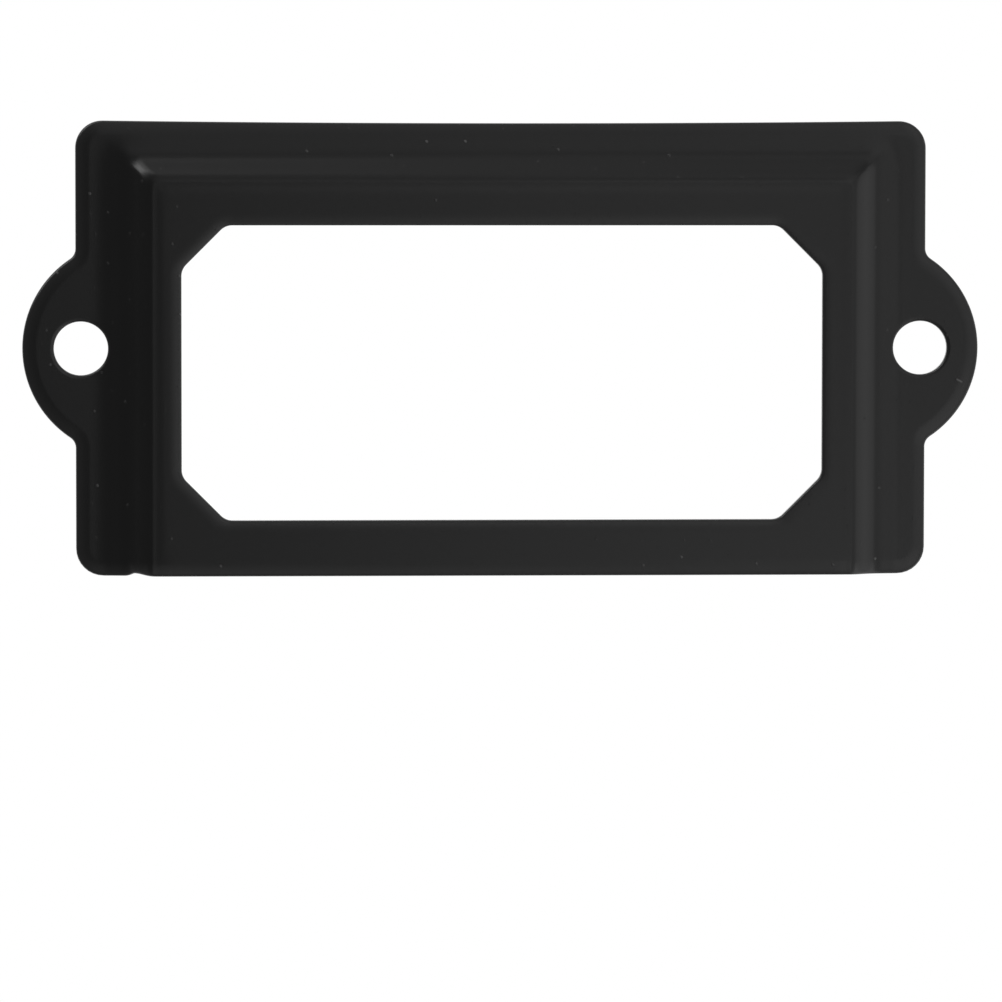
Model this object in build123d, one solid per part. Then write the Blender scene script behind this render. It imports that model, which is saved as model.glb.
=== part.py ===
from build123d import *
import math
import os

# Drawer label holder: one piece of steel sheet, pressed to shape and cut to its outline.
#
# A flat flange lies on the drawer's front along the left, top and right. Inside it a step
# lifts the sheet off the drawer, so that a card slides in behind the raised frame from the
# lower edge, where the step runs out. Two half-round ears carry the screws, and a window
# with cut corners shows the card.
#
# Frame, in millimetres: the back lies on z = 0, the drawer's front, and +Z points away from
# the drawer. Seen from the front, +X is to the right and +Y is up. The origin is the middle
# of the holder's back.

# Sheet and its bends
sheet_thickness = 0.6
bend_radius = 1.4  # inside radius of both bends of the step
step_angle = 42.0  # slope of the step, in degrees from the drawer's front
card_gap = 1.3  # depth of the card's pocket, from the drawer to the frame's back

# Plate
plate_width = 62.2
plate_height = 33.2
plate_corner_radius = 2.0

# Ears
ear_radius = 7.86
ear_inset = 3.96  # from the plate's side edge in to the ear's centre
ear_root_radius = 0.9
screw_hole_diameter = 3.92
screw_hole_inset = 0.375  # from the plate's side edge in to the hole's centre

# Flange and raised frame
side_flange = 3.2  # flat stretch between the plate's side edge and the step's foot
top_flange = 1.9  # the same along the top
frame_corner_radius = 0.3  # in plan, where the step meets the raised frame

# Window
window_width = 46.8
window_height = 21.5
bottom_rail = 4.09  # from the open edge up to the window
window_chamfer = 3.2
window_corner_radius = 1.2

# Round that the punch leaves on the front of every cut edge
edge_radius = 0.15

# Lengths that follow from the sizes above
slope = math.radians(step_angle)
outside_radius = bend_radius + sheet_thickness
bends_width = (bend_radius + outside_radius) * math.sin(slope)
bends_rise = (bend_radius + outside_radius) * (1 - math.cos(slope))
step_width = bends_width + (card_gap - bends_rise) / math.tan(slope)
foot_x = plate_width / 2 - side_flange
foot_y = plate_height / 2 - top_flange
corner_x = foot_x - step_width - frame_corner_radius
corner_y = foot_y - step_width - frame_corner_radius
open_edge_y = -plate_height / 2
screw_x = plate_width / 2 - screw_hole_inset
window_y = open_edge_y + bottom_rail + window_height / 2

# Past the outline on every side and through the whole depth, for what is trimmed later
margin = 10.0
through = card_gap + 2 * sheet_thickness


def outline():
    """The holder's outline: the plate with both ears and their rounded roots."""
    ears = Locations((plate_width / 2 - ear_inset, 0), (ear_inset - plate_width / 2, 0))
    sketch = RectangleRounded(plate_width, plate_height, plate_corner_radius)
    sketch += [place * Circle(ear_radius) for place in ears]
    root_y = math.sqrt(ear_radius**2 - ear_inset**2)
    roots = [v for v in sketch.vertices() if math.isclose(abs(v.Y), root_y, abs_tol=0.001)]
    return fillet(roots, ear_root_radius)


def raised_area(spread):
    """Plan of the raised frame with its stepped sides moved out by spread, open below."""
    width = 2 * (foot_x - step_width + spread)
    top = foot_y - step_width + spread
    height = top - open_edge_y + margin
    area = Pos(0, top - height / 2) * Rectangle(width, height)
    upper_corners = area.vertices().group_by(Axis.Y)[-1]
    return fillet(upper_corners, frame_corner_radius + spread)


def step_section():
    """The sheet across the step: the foot at u = 0, the raised frame at u = step_width."""
    foot = (0, outside_radius)
    brow = (step_width, card_gap - bend_radius)
    front_foot = CenterArc(foot, bend_radius, -90, step_angle)
    front_brow = CenterArc(brow, outside_radius, 90, step_angle)
    back_foot = CenterArc(foot, outside_radius, -90, step_angle)
    back_brow = CenterArc(brow, bend_radius, 90, step_angle)
    front_slope = Line(front_foot @ 1, front_brow @ 1)
    back_slope = Line(back_foot @ 1, back_brow @ 1)
    foot_end = Line(back_foot @ 0, front_foot @ 0)
    brow_end = Line(front_brow @ 0, back_brow @ 0)
    front = [front_foot, front_slope, front_brow]
    back = [back_brow, back_slope, back_foot]
    return make_face(front + [brow_end] + back + [foot_end])


def step():
    """The step on three sides: the section drawn out along each side and turned at the corners."""
    section = step_section()
    upright = Plane(origin=(-foot_x, corner_y, 0), x_dir=(1, 0, 0), z_dir=(0, -1, 0)) * section
    level = Plane(origin=(-corner_x, foot_y, 0), x_dir=(0, -1, 0), z_dir=(-1, 0, 0)) * section
    side = extrude(upright, corner_y - open_edge_y + margin)
    turn = revolve(upright, Axis((-corner_x, corner_y, 0), (0, 0, -1)), 90)
    top = extrude(level, -corner_x)
    half = side + turn + top
    return half + mirror(half, about=Plane.YZ)


def pressed_sheet():
    """The sheet as pressed, before it is cut: flat outside the step and raised inside it."""
    blank = Rectangle(plate_width + 2 * margin, plate_height + 2 * margin)
    flat = extrude(blank - raised_area(step_width), sheet_thickness)
    raised = extrude(Pos(0, 0, card_gap) * (raised_area(0) & blank), sheet_thickness)
    return flat + step() + raised


def window():
    """The window's outline: a rectangle with its corners cut off and the points rounded."""
    shape = Rectangle(window_width, window_height)
    shape = chamfer(shape.vertices(), window_chamfer)
    shape = fillet(shape.vertices(), window_corner_radius)
    return Pos(0, window_y) * shape


def front_cut_edges(sheet):
    """Edges where the sheet's front meets a cut wall."""
    walls = [face for face in sheet.faces() if abs(face.normal_at().Z) < 0.01]
    front = [face for face in sheet.faces() if face.normal_at().Z > 0.01]
    front_edges = [edge for face in front for edge in face.edges()]
    wall_edges = [edge for face in walls for edge in face.edges()]
    return [edge for edge in wall_edges if any(edge.is_same(other) for other in front_edges)]


def label_frame():
    """The whole holder, one solid."""
    holes = Locations((screw_x, 0), (-screw_x, 0))
    sheet = pressed_sheet() & extrude(outline(), through)
    sheet -= extrude(window(), through)
    sheet -= [place * Cylinder(screw_hole_diameter / 2, 2 * through) for place in holes]
    return fillet(front_cut_edges(sheet), edge_radius)


holder = label_frame()
os.makedirs("parts", exist_ok=True)
export_step(holder, "parts/label_frame.step")
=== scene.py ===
import math

import bmesh
import bpy
import numpy as np
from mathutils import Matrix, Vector


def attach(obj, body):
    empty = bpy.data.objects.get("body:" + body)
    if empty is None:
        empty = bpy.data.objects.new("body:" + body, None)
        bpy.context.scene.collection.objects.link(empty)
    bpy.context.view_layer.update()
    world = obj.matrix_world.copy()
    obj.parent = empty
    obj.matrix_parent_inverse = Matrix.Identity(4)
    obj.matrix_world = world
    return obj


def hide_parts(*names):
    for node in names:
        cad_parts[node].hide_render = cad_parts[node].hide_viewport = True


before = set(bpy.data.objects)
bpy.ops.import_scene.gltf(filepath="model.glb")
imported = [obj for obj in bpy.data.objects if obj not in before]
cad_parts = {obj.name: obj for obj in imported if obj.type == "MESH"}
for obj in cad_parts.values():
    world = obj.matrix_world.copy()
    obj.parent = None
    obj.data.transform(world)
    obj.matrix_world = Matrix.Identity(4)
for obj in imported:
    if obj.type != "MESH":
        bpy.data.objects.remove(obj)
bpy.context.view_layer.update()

# Drawer label holder in black coated sheet steel, seen from the front.
#
# Lengths are in millimetres until a mesh or an object is made. Plan points are complex numbers,
# x + iy, with +X to the right and +Y up as the holder is seen; +Z points away from the drawer.

MM = 0.001

# Sheet
thickness = 0.6
rise = 1.3  # from the flange's front up to the raised frame's front

# Outline
plate_side = 31.1
plate_top = 16.6
plate_bottom = -16.6
plate_corner = 2.0
ear_radius = 7.84
ear_centre = plate_side - 3.96
ear_root = 0.9
hole_centre = plate_side - 0.375
hole_radius = 1.96

# Window
window_side = 23.4
window_top = 8.99
window_bottom = -12.51
window_chamfer = 3.2
window_corner = 1.2

# Step, by the line along the middle of its slope
step_side = 26.61
step_top = 13.27
steepest = math.radians(36.9)
brow_width = 1.06
brow_power = 1.3
brow_crispness = 0.65
foot_width = 0.95
foot_power = 1.85
brow_ease = math.radians(2.4)
brow_ease_at = -1.57
brow_ease_width = 0.27
foot_ease = math.radians(6.9)
foot_ease_at = 2.0
foot_ease_width = 0.64

# Corners of the bends: an arc from the top turns by an angle and meets the side in a ridge
corner_radius = 1.25
corner_turn = math.radians(41.5)
ridge_round = 0.25

# Corners of the ease: how far in the rounding reaches, and what it takes off, each way
ease_reach = 5.0
ease_cut = 0.475

# Cut edges. The punch rolls the front over: its lean, in degrees, at ways in from the edge
outline_roll_at = (1.08, 0.85, 0.65, 0.45, 0.3, 0.15)
outline_roll_lean = (0, 5.4, 6.8, 7.9, 9.5, 14)
window_roll_at = (0.95, 0.85, 0.6, 0.4, 0.25, 0.12)
window_roll_lean = (0, 0.5, 1.8, 3.4, 5, 12)
hole_roll_at = (0.3, 0.12)
hole_roll_lean = (0, 16)
back_round = 0.05

# Where the pressing has drawn the cut edges in: the top, and the foot of the left step
top_draw_in = 0.18
top_draw_reach = 30.0
foot_draw_in = 0.2
foot_draw_in_at = -27.0
foot_draw_outward = 0.3
foot_draw_inward = 0.85
foot_draw_up = 2.5

# The right flange doesn't lie quite flat: it rises towards its outer edge
lifted_from = 29.0
lift = math.radians(1.2)
lift_round = 0.25


# Shape of the sheet


def climb(out, angle):
    """Height reached at each distance out, when the slope's angle is summed from the flange in."""
    slope = np.tan(angle)
    climbed = np.concatenate([[0], np.cumsum((slope[1:] + slope[:-1]) / 2 * np.diff(out))])
    return climbed[-1] - climbed


def step_section():
    """Distances out from the middle of the step, and the heights there of its bends and its ease.

    The bends' slope angle falls off on both sides of the middle: to the brow's crisp edge as
    (1 - (out / width)^power)^crispness, and to the foot as a bell, e^-(out / width)^power. A small
    bell before the brow is where the raised frame starts to fall. The ease is a low wide bell past
    the foot, where the flange is slow to lie flat. The section is stretched sideways until the two
    together climb the rise.
    """
    out = np.linspace(-5, 6, 4401)
    brow = np.maximum(1 - np.abs(out / brow_width) ** brow_power, 0) ** brow_crispness
    foot = np.exp(-(np.abs(out / foot_width) ** foot_power))
    bend = steepest * np.where(out < 0, brow, foot)
    bend += brow_ease * np.exp(-(((out - brow_ease_at) / brow_ease_width) ** 2))
    ease = foot_ease * np.exp(-(((out - foot_ease_at) / foot_ease_width) ** 2))
    bends, eases = climb(out, bend), climb(out, ease)
    stretch = rise / (bends[0] + eases[0])
    return out * stretch, bends * stretch, eases * stretch


section_out, section_bends, section_eases = step_section()


def bend_distance(x, y):
    """Distance out from the middle of the step's bends, which are open at the lower edge.

    All lines of one distance are the same line, moved out along the mitre: it runs straight along
    the top, turns down in an arc and meets the straight side. For a point at (a, b) from the arc's
    centre of the line at no distance, the arc passes it at (a + b - sqrt(2 r^2 - (a - b)^2)) / 2.
    The greater of the ways out past the top and past the side holds, with the ridge rounded off by
    (1 - difference / round)^2 round / 4.
    """
    radius = corner_radius
    aside_out = np.abs(x) - step_side
    a = aside_out + radius * math.sin(corner_turn)
    b = y - step_top + radius
    past_arc = (a + b - np.sqrt(2 * radius**2 - np.clip(a - b, -radius, radius) ** 2)) / 2
    top_out = np.where(a - b < -radius, b - radius, past_arc)
    near = np.clip(1 - np.abs(aside_out - top_out) / ridge_round, 0, 1)
    return np.maximum(aside_out, top_out) + near**2 * ridge_round / 4


def ease_distance(x, y):
    """Distance out from the middle of the step to its ease, which has rounder corners.

    Measured from lines a reach inside the step, it is the power mean of the ways across and up,
    (across^p + up^p)^(1/p), less the reach: two straight sides that meet in a round. The power is
    the one that takes the cut off the corner.
    """
    power = -1 / math.log2(1 - ease_cut / ease_reach)
    across = np.maximum(np.abs(x) - step_side + ease_reach, 0) / ease_reach
    up = np.maximum(y - step_top + ease_reach, 0) / ease_reach
    mean = (across**power + up**power) ** (1 / power)
    return (mean - 1) * ease_reach


def front_height(x, y):
    """The front's height: the sheet, the bends and the ease of the step, and the lifted flange.

    At u past the line where it starts, the lift is u tan(angle). It starts in a bend, from -round
    to round, of (u + round)^2 / (4 round) in place of u.
    """
    bends = np.interp(bend_distance(x, y), section_out, section_bends)
    eases = np.interp(ease_distance(x, y), section_out, section_eases)
    past = x - lifted_from
    bent = np.clip(past + lift_round, 0, 2 * lift_round) ** 2 / (4 * lift_round)
    lifted = math.tan(lift) * (bent + np.maximum(past - lift_round, 0))
    return thickness + bends + eases + lifted


def drawn_in(plan):
    """Plan points after the pressing has drawn two cut edges in.

    The top edge is drawn in most at its middle, by a parabola along it. At the lower edge the left
    step's foot is drawn up in a small bell-shaped arch, steeper on its outer side. Both fade as a
    square towards the step and up the sheet.
    """
    x, y = plan.real, plan.imag
    near_top = np.clip((y - step_top) / (plate_top - step_top), 0, 1)
    bow = np.clip(1 - (x / top_draw_reach) ** 2, 0, 1)
    near_foot = np.clip(1 - (y - plate_bottom) / foot_draw_up, 0, 1)
    width = np.where(x < foot_draw_in_at, foot_draw_outward, foot_draw_inward)
    arch = np.exp(-(((x - foot_draw_in_at) / width) ** 2))
    return plan + 1j * (foot_draw_in * arch * near_foot**2 - top_draw_in * bow * near_top**2)


# Paths in plan. A path is two rows: its points, and the unit normals on its left.


def straight(start, end, count):
    """Points spaced evenly on a line, with its left normal."""
    t = np.linspace(0, 1, count + 1)
    normal = 1j * (end - start) / abs(end - start)
    return np.stack([start + (end - start) * t, np.full(count + 1, normal)])


def turn(centre, radius, start, end, count):
    """Points spaced evenly on an arc, angles in degrees, with its left normal."""
    ray = np.exp(1j * np.radians(np.linspace(start, end, count + 1)))
    left = -ray if end > start else ray
    return np.stack([centre + radius * ray, left])


def joined(*runs):
    """Runs put end to end as one path, with each meeting point kept once."""
    return np.concatenate([run[:, :-1] for run in runs[:-1]] + [runs[-1]], axis=1)


def aside(path, distance):
    """The path's points moved to its left."""
    return path[0] + path[1] * distance


# Patches. A patch is three grids: plan points, depths below the sheet's front, and how much greyer
# # the coat is there, from 0 on the flats to 1 on a cut edge: a thinner coat, and a painted highlight
# # for the light the rolled edges catch.


def between(inner, outer, steps):
    """Plan grid ruled from one line of points to another in even steps: (1 - v) inner + v outer."""
    v = np.linspace(0, 1, steps + 1)[None, :]
    return inner[:, None] * (1 - v) + outer[:, None] * v


def skins(plan):
    """The same plan grid twice: at no depth for the front, and at the sheet's depth for the back."""
    flat = np.zeros(plan.shape)
    return [(plan, flat, flat), (plan, flat + thickness, flat)]


# Points across a cut edge: on the roll, on the round after it and on the back's smaller round
roll_points = 17
round_points = 8
back_points = 4


def rim(path, roll_at, roll_lean):
    """The cut edge's section carried along a path, from the front's flat round to the back's.

    The front's lean grows towards the edge, straight between the values given, and its depth is the
    lean's tangent summed up. A round takes over at the last value and turns it into the wall. Then
    come a smaller quarter round and the back, as far in as the roll. The coat is painted greyer
    towards the edge, by (1 - inward / reach)^1.5: a thinner coat, and a painted highlight for the
    light the rolled edge catches.
    """
    reach = roll_at[0]
    inward = np.linspace(reach, roll_at[-1], roll_points)
    lean = np.radians(np.interp(-inward, -np.array(roll_at), roll_lean))
    slope = np.tan(lean)
    depth = np.concatenate([[0], np.cumsum((slope[1:] + slope[:-1]) / 2 * -np.diff(inward))])
    radius = roll_at[-1] / (1 - math.sin(lean[-1]))
    turned = np.linspace(lean[-1], math.pi / 2, round_points)[1:]
    round_in = radius * (1 - np.sin(turned))
    round_down = depth[-1] + radius * (math.cos(lean[-1]) - np.cos(turned))
    quarter = np.linspace(0, math.pi / 2, back_points)
    back_in = np.concatenate([back_round * (1 - np.cos(quarter)), [reach * 0.4, reach]])
    back_down = thickness - np.concatenate([back_round * (1 - np.sin(quarter)), [0, 0]])
    inward = np.concatenate([inward, round_in, back_in])
    down = np.concatenate([depth, round_down, back_down])
    plan = path[0][:, None] + path[1][:, None] * inward[None, :]
    # Greyer coat towards the edge: a thinner coat, and a painted highlight on the roll
    thin_and_highlight = np.clip(1 - inward / reach, 0, 1) ** 1.5
    return plan, np.broadcast_to(down, plan.shape), np.broadcast_to(thin_and_highlight, plan.shape)


# Numbers of steps along the lines of the step's band, which the sheet's other lines have to match
bottom_steps = 44  # from the middle of the lower edge to the band, and along the band's top
section_steps = 44  # across the band
low_steps = 20  # up the band's side, below the ear
ear_steps = 30  # behind the ear
high_steps = 16  # above the ear
corner_steps = 24  # round the band's corner

# Numbers of steps across the raised frame, the flange and the ear
frame_rows = 10
flange_rows = 12
ear_rows = 20

# Numbers of steps along the outline. An ear's roots count half to the ear and half to the side
low_corner_steps = 8
root_steps = 8
lobe_steps = 56
high_run_steps = 16
high_corner_steps = 16

# Numbers of steps along the window. It has as many in all as the line round the raised frame,
# which runs along the lower edge and then up the band's inner side
window_run_steps = 26
window_side_steps = 30
chamfer_steps = 16
point_steps = 10

# The step's band, from the raised frame to the flange
band_in = 1.62
band_out = 1.68
band_in_corner = 0.45
band_out_corner = 1.8
side_in = step_side - band_in
side_out = step_side + band_out
top_in = step_top - band_in
top_out = step_top + band_out

# Where an ear springs from the plate's side: the middle of its root's arc, and the lean of its end
root_x = plate_side + ear_root
root_y = math.sqrt((ear_radius + ear_root) ** 2 - (root_x - ear_centre) ** 2)
root_lean = math.degrees(math.atan2(root_y, root_x - ear_centre))

# The flange's edge inside the roll, and how far up and down the ear's part of the sheet reaches
roll_width = outline_roll_at[0]
edge_bottom = plate_bottom + roll_width
ear_reach = root_y - (ear_root + roll_width) * math.sin(math.radians(root_lean / 2))


def outline_path():
    """The right half of the outline, from the middle of the lower edge up to the top's middle.

    Below and above the ear it has as many steps as the band's outer line has there.
    """
    side_y = plate_top - plate_corner
    top_x = plate_side - plate_corner
    low = 1j * plate_bottom
    half_root = root_steps // 2
    low_run_steps = low_steps - low_corner_steps - half_root
    past_ear_steps = high_steps + corner_steps + bottom_steps
    top_steps = past_ear_steps - half_root - high_run_steps - high_corner_steps
    return joined(
        straight(0 + low, side_in + low, bottom_steps),
        straight(side_in + low, side_out + low, section_steps),
        straight(side_out + low, top_x + low, flange_rows),
        turn(top_x - 1j * side_y, plate_corner, -90, 0, low_corner_steps),
        straight(plate_side - 1j * side_y, plate_side - 1j * root_y, low_run_steps),
        turn(root_x - 1j * root_y, ear_root, 180, 180 - root_lean, root_steps),
        turn(ear_centre, ear_radius, -root_lean, root_lean, lobe_steps - root_steps),
        turn(root_x + 1j * root_y, ear_root, 180 + root_lean, 180, root_steps),
        straight(plate_side + 1j * root_y, plate_side + 1j * side_y, high_run_steps),
        turn(top_x + 1j * side_y, plate_corner, 0, 90, high_corner_steps),
        straight(top_x + 1j * plate_top, 1j * plate_top, top_steps),
    )


def window_path():
    """The right half of the window's outline, anticlockwise from below; the sheet is on its right."""
    cut = window_chamfer
    tangent = window_corner * math.tan(math.radians(22.5))
    slant = tangent * math.sqrt(0.5)
    low, high, side = window_bottom, window_top, window_side
    round_in = window_corner
    low_x = side - cut - tangent
    low_y = low + cut + tangent
    high_y = high - cut - tangent
    centre_a = low_x + 1j * (low + round_in)
    centre_b = side - round_in + 1j * low_y
    centre_c = side - round_in + 1j * high_y
    centre_d = low_x + 1j * (high - round_in)
    cut_a = side - cut + slant + 1j * (low + slant)
    cut_b = side - slant + 1j * (low + cut - slant)
    cut_c = side - slant + 1j * (high - cut + slant)
    cut_d = side - cut + slant + 1j * (high - slant)
    path = joined(
        straight(1j * low, low_x + 1j * low, window_run_steps),
        turn(centre_a, round_in, -90, -45, point_steps),
        straight(cut_a, cut_b, chamfer_steps),
        turn(centre_b, round_in, -45, 0, point_steps),
        straight(side + 1j * low_y, side + 1j * high_y, window_side_steps),
        turn(centre_c, round_in, 0, 45, point_steps),
        straight(cut_c, cut_d, chamfer_steps + corner_steps),
        turn(centre_d, round_in, 45, 90, point_steps),
        straight(low_x + 1j * high, 1j * high, window_run_steps),
    )
    return np.stack([path[0], -path[1]])


def band_line(side, top, corner):
    """One edge of the step's band: up the side, round the corner and along to the middle."""
    return joined(
        straight(side + 1j * edge_bottom, side - 1j * ear_reach, low_steps),
        straight(side - 1j * ear_reach, side + 1j * ear_reach, ear_steps),
        straight(side + 1j * ear_reach, side + 1j * (top - corner), high_steps),
        turn(side - corner + 1j * (top - corner), corner, 0, 90, corner_steps),
        straight(side - corner + 1j * top, 1j * top, bottom_steps),
    )[0]


def hole_path():
    """The screw hole, clockwise, in step with the four sides of the ear's part of the sheet.

    Its rays at 125 and 92 degrees either way point at that part's corners. The sheet is outside.
    """
    angles = np.concatenate(
        [
            np.linspace(235, 125, ear_steps + 1)[:-1],
            np.linspace(125, 92, flange_rows + 1)[:-1],
            np.linspace(92, -92, lobe_steps + 1)[:-1],
            np.linspace(-92, -125, flange_rows + 1),
        ]
    )
    ray = np.exp(1j * np.radians(angles))
    return np.stack([hole_centre + hole_radius * ray, ray])


def ear_fence(left, right):
    """The closed line round the ear's part of the sheet, clockwise from its lower left corner.

    Left and right are its upright sides, given from the bottom up. Straight lines join their ends.
    """
    v = np.linspace(0, 1, flange_rows + 1)
    top = left[-1] + (right[-1] - left[-1]) * v
    bottom = left[0] + (right[0] - left[0]) * v
    return np.concatenate([left[:-1], top[:-1], right[:0:-1], bottom[::-1]])


def half_sheet():
    """Every patch of the holder's right half."""
    outline = outline_path()
    window = window_path()
    hole = hole_path()
    edge = aside(outline, roll_width)
    frame_edge = aside(window, window_roll_at[0])
    hole_edge = aside(hole, hole_roll_at[0])
    inner = band_line(side_in, top_in, band_in_corner)
    outer = band_line(side_out, top_out, band_out_corner)

    # Where the flange's edge passes its corner and the two ends of the ear
    to_corner = bottom_steps + section_steps + flange_rows
    to_ear = to_corner + low_steps
    past_ear = to_ear + lobe_steps
    band_past_ear = low_steps + ear_steps

    around = np.concatenate([edge[:bottom_steps], inner])
    beside_ear = outer[low_steps : band_past_ear + 1]
    fence = ear_fence(beside_ear, edge[to_ear : past_ear + 1])
    return [
        rim(outline, outline_roll_at, outline_roll_lean),
        rim(window, window_roll_at, window_roll_lean),
        rim(hole, hole_roll_at, hole_roll_lean),
        *skins(between(frame_edge, around, frame_rows)),
        *skins(between(inner, outer, section_steps)),
        *skins(between(outer[: low_steps + 1], edge[to_corner : to_ear + 1], flange_rows)),
        *skins(between(outer[band_past_ear:], edge[past_ear:], flange_rows)),
        *skins(between(hole_edge, fence, ear_rows)),
    ]


def placed(plan, depth):
    """Points in space: the front at the plan point, less the depth along the front's normal.

    The normal is (-dh/dx, -dh/dy, 1) made one long, from differences of the height over twice a
    short reach.
    """
    plan = drawn_in(plan)
    x, y = plan.real, plan.imag
    reach = 0.002
    along_x = (front_height(x + reach, y) - front_height(x - reach, y)) / (2 * reach)
    along_y = (front_height(x, y + reach) - front_height(x, y - reach)) / (2 * reach)
    normal = np.stack([-along_x, -along_y, np.ones(x.shape)], axis=-1)
    normal /= np.linalg.norm(normal, axis=-1, keepdims=True)
    front = np.stack([x, y, front_height(x, y)], axis=-1)
    return front - normal * depth[..., None]


def grid_faces(rows, columns, first):
    """Four-sided faces of a grid whose points are numbered row by row from first."""
    corner = np.arange(rows - 1)[:, None] * columns + np.arange(columns - 1)[None, :] + first
    corner = corner.ravel()
    return np.stack([corner, corner + columns, corner + columns + 1, corner + 1], axis=1)


def sheet_mesh():
    """The whole sheet as one closed mesh: the right half's patches and their mirror images."""
    points, faces, thin_coat_and_highlight, count = [], [], [], 0
    for plan, depth, thin_and_highlight in half_sheet():
        for across in (plan, -np.conj(plan)):
            rows, columns = across.shape
            points.append(placed(across, depth).reshape(-1, 3))
            faces.append(grid_faces(rows, columns, count))
            thin_coat_and_highlight.append(thin_and_highlight.ravel())
            count += rows * columns
    mesh = bpy.data.meshes.new("sheet")
    mesh.from_pydata(np.concatenate(points) * MM, [], np.concatenate(faces))
    # Greyer coat at the cut edges, a thinner coat and a painted edge highlight, kept with the points
    thin_and_highlight_layer = mesh.attributes.new("thin_coat_and_highlight", "FLOAT", "POINT")
    thin_and_highlight_layer.data.foreach_set("value", np.concatenate(thin_coat_and_highlight))
    work = bmesh.new()
    work.from_mesh(mesh)
    bmesh.ops.remove_doubles(work, verts=work.verts, dist=0.002 * MM)
    bmesh.ops.recalc_face_normals(work, faces=work.faces)
    open_edges = sum(1 for e in work.edges if len(e.link_faces) != 2)
    print("sheet: faces", len(work.faces), "edges that don't join two faces", open_edges)
    work.to_mesh(mesh)
    work.free()
    mesh.shade_smooth()
    return mesh


# Finish


class Signal:
    """A shader socket. Arithmetic on it adds Math nodes to its tree."""

    def __init__(self, tree, socket=None):
        self.tree = tree
        self.socket = socket

    def node(self, kind, settings=None, inputs=None, output=0):
        """Adds a node, its settings first and then its inputs, and returns one of its outputs."""
        made = self.tree.nodes.new(kind)
        for name, value in (settings or {}).items():
            setattr(made, name, value)
        for name, value in (inputs or {}).items():
            if isinstance(value, Signal):
                self.tree.links.new(value.socket, made.inputs[name])
            else:
                made.inputs[name].default_value = value
        return Signal(self.tree, made.outputs[output])

    def maths(self, operation, first, second=0.0):
        return self.node("ShaderNodeMath", {"operation": operation}, {0: first, 1: second})

    def __add__(self, other):
        return self.maths("ADD", self, other)

    __radd__ = __add__

    def __sub__(self, other):
        return self.maths("SUBTRACT", self, other)

    def __rsub__(self, other):
        return self.maths("SUBTRACT", other, self)

    def __mul__(self, other):
        return self.maths("MULTIPLY", self, other)

    __rmul__ = __mul__

    def __pow__(self, other):
        return self.maths("POWER", self, other)

    def least(self, other):
        return self.maths("MINIMUM", self, other)

    def most(self, other):
        return self.maths("MAXIMUM", self, other)


def scratch(x, y, start, end, width):
    """1 along the line from start to end, in millimetres, and down to 0 at a width to its sides.

    The nearest point of the line is start + t (end - start), with t the way along, kept in 0 to 1.
    """
    run_x, run_y = end[0] - start[0], end[1] - start[1]
    length = run_x**2 + run_y**2
    along = (x - start[0]) * (run_x / length) + (y - start[1]) * (run_y / length)
    along = along.most(0).least(1)
    off_x = x - start[0] - along * run_x
    off_y = y - start[1] - along * run_y
    off = (off_x * off_x + off_y * off_y) ** 0.5
    return (1 - off * (1 / width)).most(0)


def nibs(maker, place, cells, share, radius):
    """Small domes, one in each cell of a flat Voronoi pattern that the share picks, and 0 elsewhere.

    A cell is picked by the red of its colour. The square of its green is the dome's strength, so
    that most domes are faint. Cells is how many there are to a millimetre, and the radius is in
    millimetres.
    """
    cell = {"feature": "F1", "voronoi_dimensions": "2D"}
    inputs = {"Vector": place, "Scale": cells, "Randomness": 1.0}
    off = maker.node("ShaderNodeTexVoronoi", cell, inputs, "Distance")
    colour = maker.node("ShaderNodeTexVoronoi", cell, inputs, "Color")
    pick = maker.node("ShaderNodeSeparateColor", inputs={"Color": colour}, output="Red")
    strength = maker.node("ShaderNodeSeparateColor", inputs={"Color": colour}, output="Green")
    chosen = maker.maths("LESS_THAN", pick, share)
    near = (1 - off * (1 / (radius * cells))).most(0)
    return chosen * strength**2 * near**0.6


def mixed_colour(maker, share, first, second):
    """One colour turning into another, by the second one's share."""
    colours = {0: share, 6: first, 7: second}
    return maker.node("ShaderNodeMix", {"data_type": "RGBA"}, colours, 2)


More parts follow.
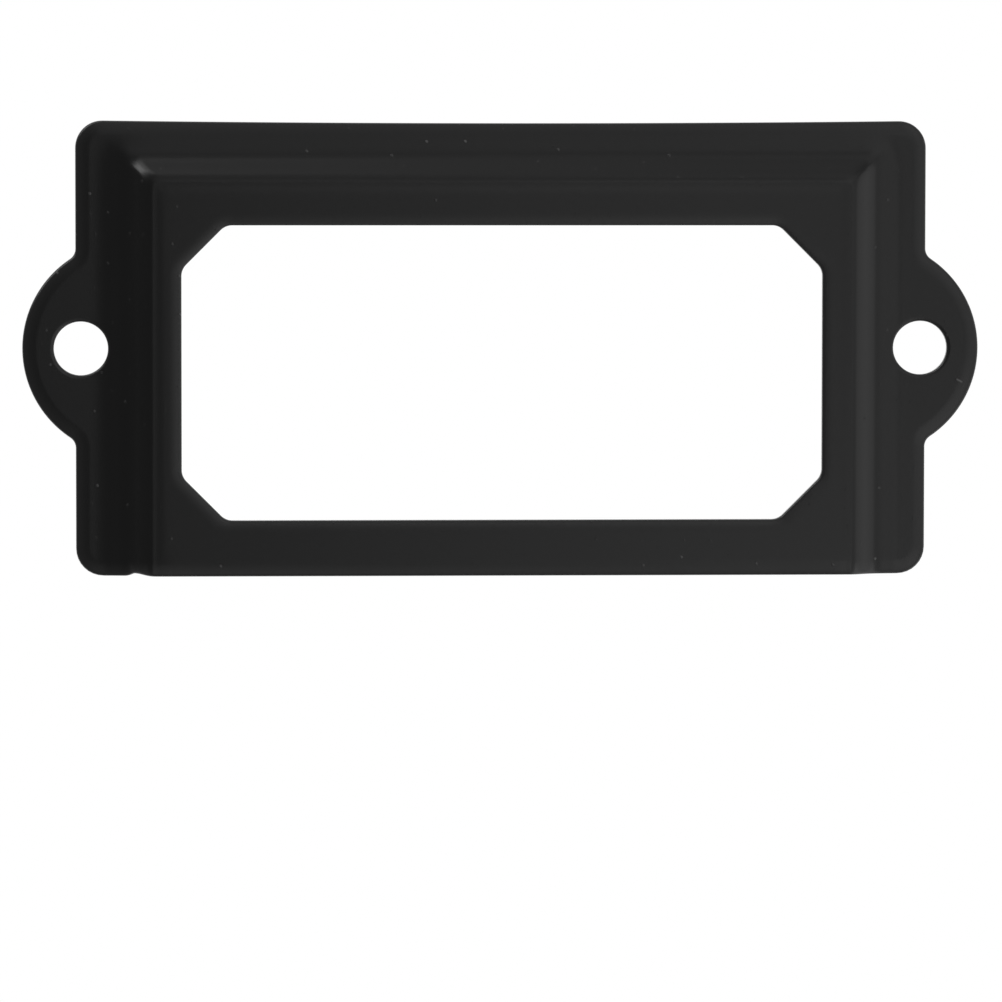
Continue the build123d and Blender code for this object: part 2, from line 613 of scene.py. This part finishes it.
def black_coat():
    """Satin black coat: near black, a faint orange peel, a fine grain, dust nibs and one nick.

    The heights are in millimetres and go through one Bump node, so its distance is a millimetre.
    The coat is a little greyer where the front rolls over into a cut edge: a thinner coat, and a
    painted highlight for the light the rolled edges catch. The nibs and the nick are greyer too.
    """
    material = bpy.data.materials.new("black_coat")
    material.use_nodes = True
    tree = material.node_tree
    shader = tree.nodes["Principled BSDF"]
    maker = Signal(tree)
    place = maker.node("ShaderNodeTexCoord", output="Object")
    scale = {"Vector": place, "Scale": (1 / MM, 1 / MM, 1 / MM)}
    millimetres = maker.node("ShaderNodeMapping", inputs=scale)
    x = maker.node("ShaderNodeSeparateXYZ", inputs={"Vector": millimetres}, output="X")
    y = maker.node("ShaderNodeSeparateXYZ", inputs={"Vector": millimetres}, output="Y")
    peel_inputs = {"Vector": millimetres, "Scale": 1.4, "Detail": 3.0, "Roughness": 0.55}
    peel = maker.node("ShaderNodeTexNoise", inputs=peel_inputs)
    grain_inputs = {"Vector": millimetres, "Scale": 7.0, "Detail": 2.0, "Roughness": 0.5}
    grain = maker.node("ShaderNodeTexNoise", inputs=grain_inputs)
    dust = nibs(maker, millimetres, 0.33, 0.4, 0.12)
    specks = nibs(maker, millimetres, 0.8, 0.3, 0.09)
    nick = scratch(x, y, (33.45, -2.33), (33.8, -2.5), 0.1)
    height = peel * 0.0008 + grain * 0.00015 + dust * 0.05 + specks * 0.04 + nick * 0.01
    bump = {"Strength": 1.0, "Distance": 1 * MM, "Height": height}
    normal = maker.node("ShaderNodeBump", inputs=bump)
    tree.links.new(normal.socket, shader.inputs["Normal"])
    roughness = 0.245 + grain * 0.02
    tree.links.new(roughness.socket, shader.inputs["Roughness"])
    # Painted highlight with the thinner coat: the coat greys towards the cut edges by the edge mask
    thin_and_highlight = maker.node("ShaderNodeAttribute", {"attribute_name": "thin_coat_and_highlight"}, output="Fac")
    coat = mixed_colour(maker, thin_and_highlight, (0.002, 0.002, 0.002, 1), (0.016, 0.016, 0.016, 1))
    grey = (dust + nick).least(1)
    colour = mixed_colour(maker, grey, coat, (0.1, 0.1, 0.1, 1))
    tree.links.new(colour.socket, shader.inputs["Base Color"])
    shader.inputs["IOR"].default_value = 1.5
    return material


def white_floor():
    """Plain white that needs no light, and shows from above only."""
    material = bpy.data.materials.new("white_floor")
    material.use_nodes = True
    tree = material.node_tree
    tree.nodes.remove(tree.nodes["Principled BSDF"])
    maker = Signal(tree)
    white = maker.node("ShaderNodeEmission", inputs={"Color": (1, 1, 1, 1), "Strength": 1.0})
    clear = maker.node("ShaderNodeBsdfTransparent")
    below = maker.node("ShaderNodeNewGeometry", output="Backfacing")
    both = maker.node("ShaderNodeMixShader", inputs={0: below, 1: white, 2: clear})
    tree.links.new(both.socket, tree.nodes["Material Output"].inputs["Surface"])
    return material


holder = bpy.data.objects.new("pressed_sheet", sheet_mesh())
bpy.context.scene.collection.objects.link(holder)
holder.data.materials.append(black_coat())
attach(holder, "root")
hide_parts("label_frame")


# Stage. From here on lengths are in metres.


def floor_plane():
    """A white floor 0.1 mm under the holder, which only the camera and the holder's gloss see."""
    mesh = bpy.data.meshes.new("floor")
    size, level = 3.0, -0.0001
    corners = [(-size, -size), (size, -size), (size, size), (-size, size)]
    mesh.from_pydata([(x, y, level) for x, y in corners], [], [(0, 1, 2, 3)])
    mesh.materials.append(white_floor())
    plane = bpy.data.objects.new("floor", mesh)
    bpy.context.scene.collection.objects.link(plane)
    plane.visible_diffuse = False
    plane.visible_shadow = False


def soft_light(name, azimuth, across, low, high, brightness):
    """A soft box that faces the holder and covers a patch of the room seen from there.

    The patch is across degrees wide about the azimuth, which is from +X towards +Y, and reaches from
    the low elevation to the high one. At a distance d, a patch of angle a needs a box 2 d tan(a / 2)
    long, and the higher it is, the narrower it gets.
    """
    distance = 1.2
    elevation = math.radians((low + high) / 2)
    level = math.radians(azimuth)
    flat = math.cos(elevation)
    lamp = bpy.data.lights.new(name, "AREA")
    lamp.shape = "RECTANGLE"
    lamp.size = 2 * distance * math.tan(math.radians(across / 2) * flat)
    lamp.size_y = 2 * distance * math.tan(math.radians(high - low) / 2)
    lamp.energy = brightness * math.pi * lamp.size * lamp.size_y
    box = bpy.data.objects.new(name, lamp)
    bpy.context.scene.collection.objects.link(box)
    away = Vector((flat * math.cos(level), flat * math.sin(level), math.sin(elevation)))
    box.location = away * distance
    box.rotation_euler = away.to_track_quat("Z", "Y").to_euler()
    box.visible_camera = False


def view_from_photo():
    """The camera, 0.5 m up and a little to the upper left, turned to look at the holder's lower part.

    Its lens makes an object as wide as it is far away fill 6847 pixels, in a frame of 1002.
    """
    data = bpy.data.cameras.new("camera")
    data.sensor_width = 36.0
    data.lens = 6847.0 / 1002.0 * data.sensor_width
    data.clip_start = 0.01
    data.clip_end = 20.0
    camera = bpy.data.objects.new("camera", data)
    bpy.context.scene.collection.objects.link(camera)
    camera.location = (-28.769 * MM, 19.176 * MM, 500.0 * MM)
    camera.rotation_mode = "ZYX"
    camera.rotation_euler = (math.radians(-3.4799), math.radians(-3.285), math.radians(-0.1388))
    bpy.context.scene.camera = camera


def still_air():
    """The room's faint even light."""
    world = bpy.data.worlds.new("room")
    world.use_nodes = True
    world.node_tree.nodes["Background"].inputs["Color"].default_value = (1, 1, 1, 1)
    world.node_tree.nodes["Background"].inputs["Strength"].default_value = 0.165
    bpy.context.scene.world = world


floor_plane()
view_from_photo()
still_air()

# The room from the floor up, and two boxes at the upper left for the glint on the step's corner:
# name, azimuth, width across, lowest and highest elevation, brightness
soft_light("low_right", 0, 45, 0, 40, 0.7)
soft_light("low_upper_right", 45, 45, 0, 40, 0.2)
soft_light("low_top", 90, 45, 0, 40, 0.3)
soft_light("low_lower_left", 225, 45, 0, 40, 0.2)
soft_light("low_lower_right", 315, 45, 0, 40, 1.0)
soft_light("middle_right", 0, 60, 40, 58, 0.4)
soft_light("middle_upper_right", 60, 60, 40, 58, 0.45)
soft_light("middle_lower_right", 300, 60, 40, 58, 0.3)
soft_light("high_right", 0, 45, 58, 74, 0.5)
soft_light("high_upper_right", 45, 45, 58, 74, 0.6)
soft_light("high_top", 90, 45, 58, 74, 0.3)
soft_light("high_bottom", 270, 45, 58, 74, 0.35)
soft_light("high_lower_right", 315, 45, 58, 74, 0.8)
soft_light("top_upper_right", 45, 45, 76, 86, 1.1)
soft_light("top_top", 90, 45, 74, 85, 0.35)
soft_light("top_lower_right", 315, 45, 74, 85, 1.0)
soft_light("glint", 133, 38, 16, 40, 3.3)
soft_light("glint_side", 105, 18, 16, 40, 1.0)
bpy.context.scene.view_settings.view_transform = "Standard"
